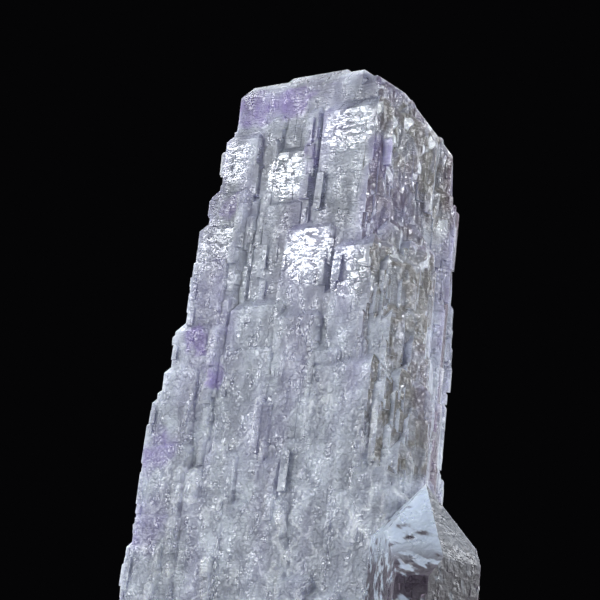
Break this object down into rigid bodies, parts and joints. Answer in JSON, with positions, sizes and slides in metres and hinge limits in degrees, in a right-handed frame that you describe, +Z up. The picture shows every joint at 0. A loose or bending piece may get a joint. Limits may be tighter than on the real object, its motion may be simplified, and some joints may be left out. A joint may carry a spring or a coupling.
{
  "type": "amethyst crystal",
  "caption": "Pale, cloudy amethyst crystal with stepped parallel growth, a sloping point and a smaller crystal grown at its foot, sawn flat to stand upright.",
  "frame": {"origin": "centre of the bounding box's underside, on the sawn foot", "axes": "+Z up, along the crystal's length; -Y towards the broad stepped front; +X to the right of it"},
  "size_m": [0.0382, 0.0478, 0.0669],
  "materials": {
    "milky_amethyst": "cloudy lilac quartz, glossy on its flat faces and frosted between them"
  },
  "bodies": {
    "root": {"amethyst_crystal": "milky_amethyst"}
  },
  "joints": []
}
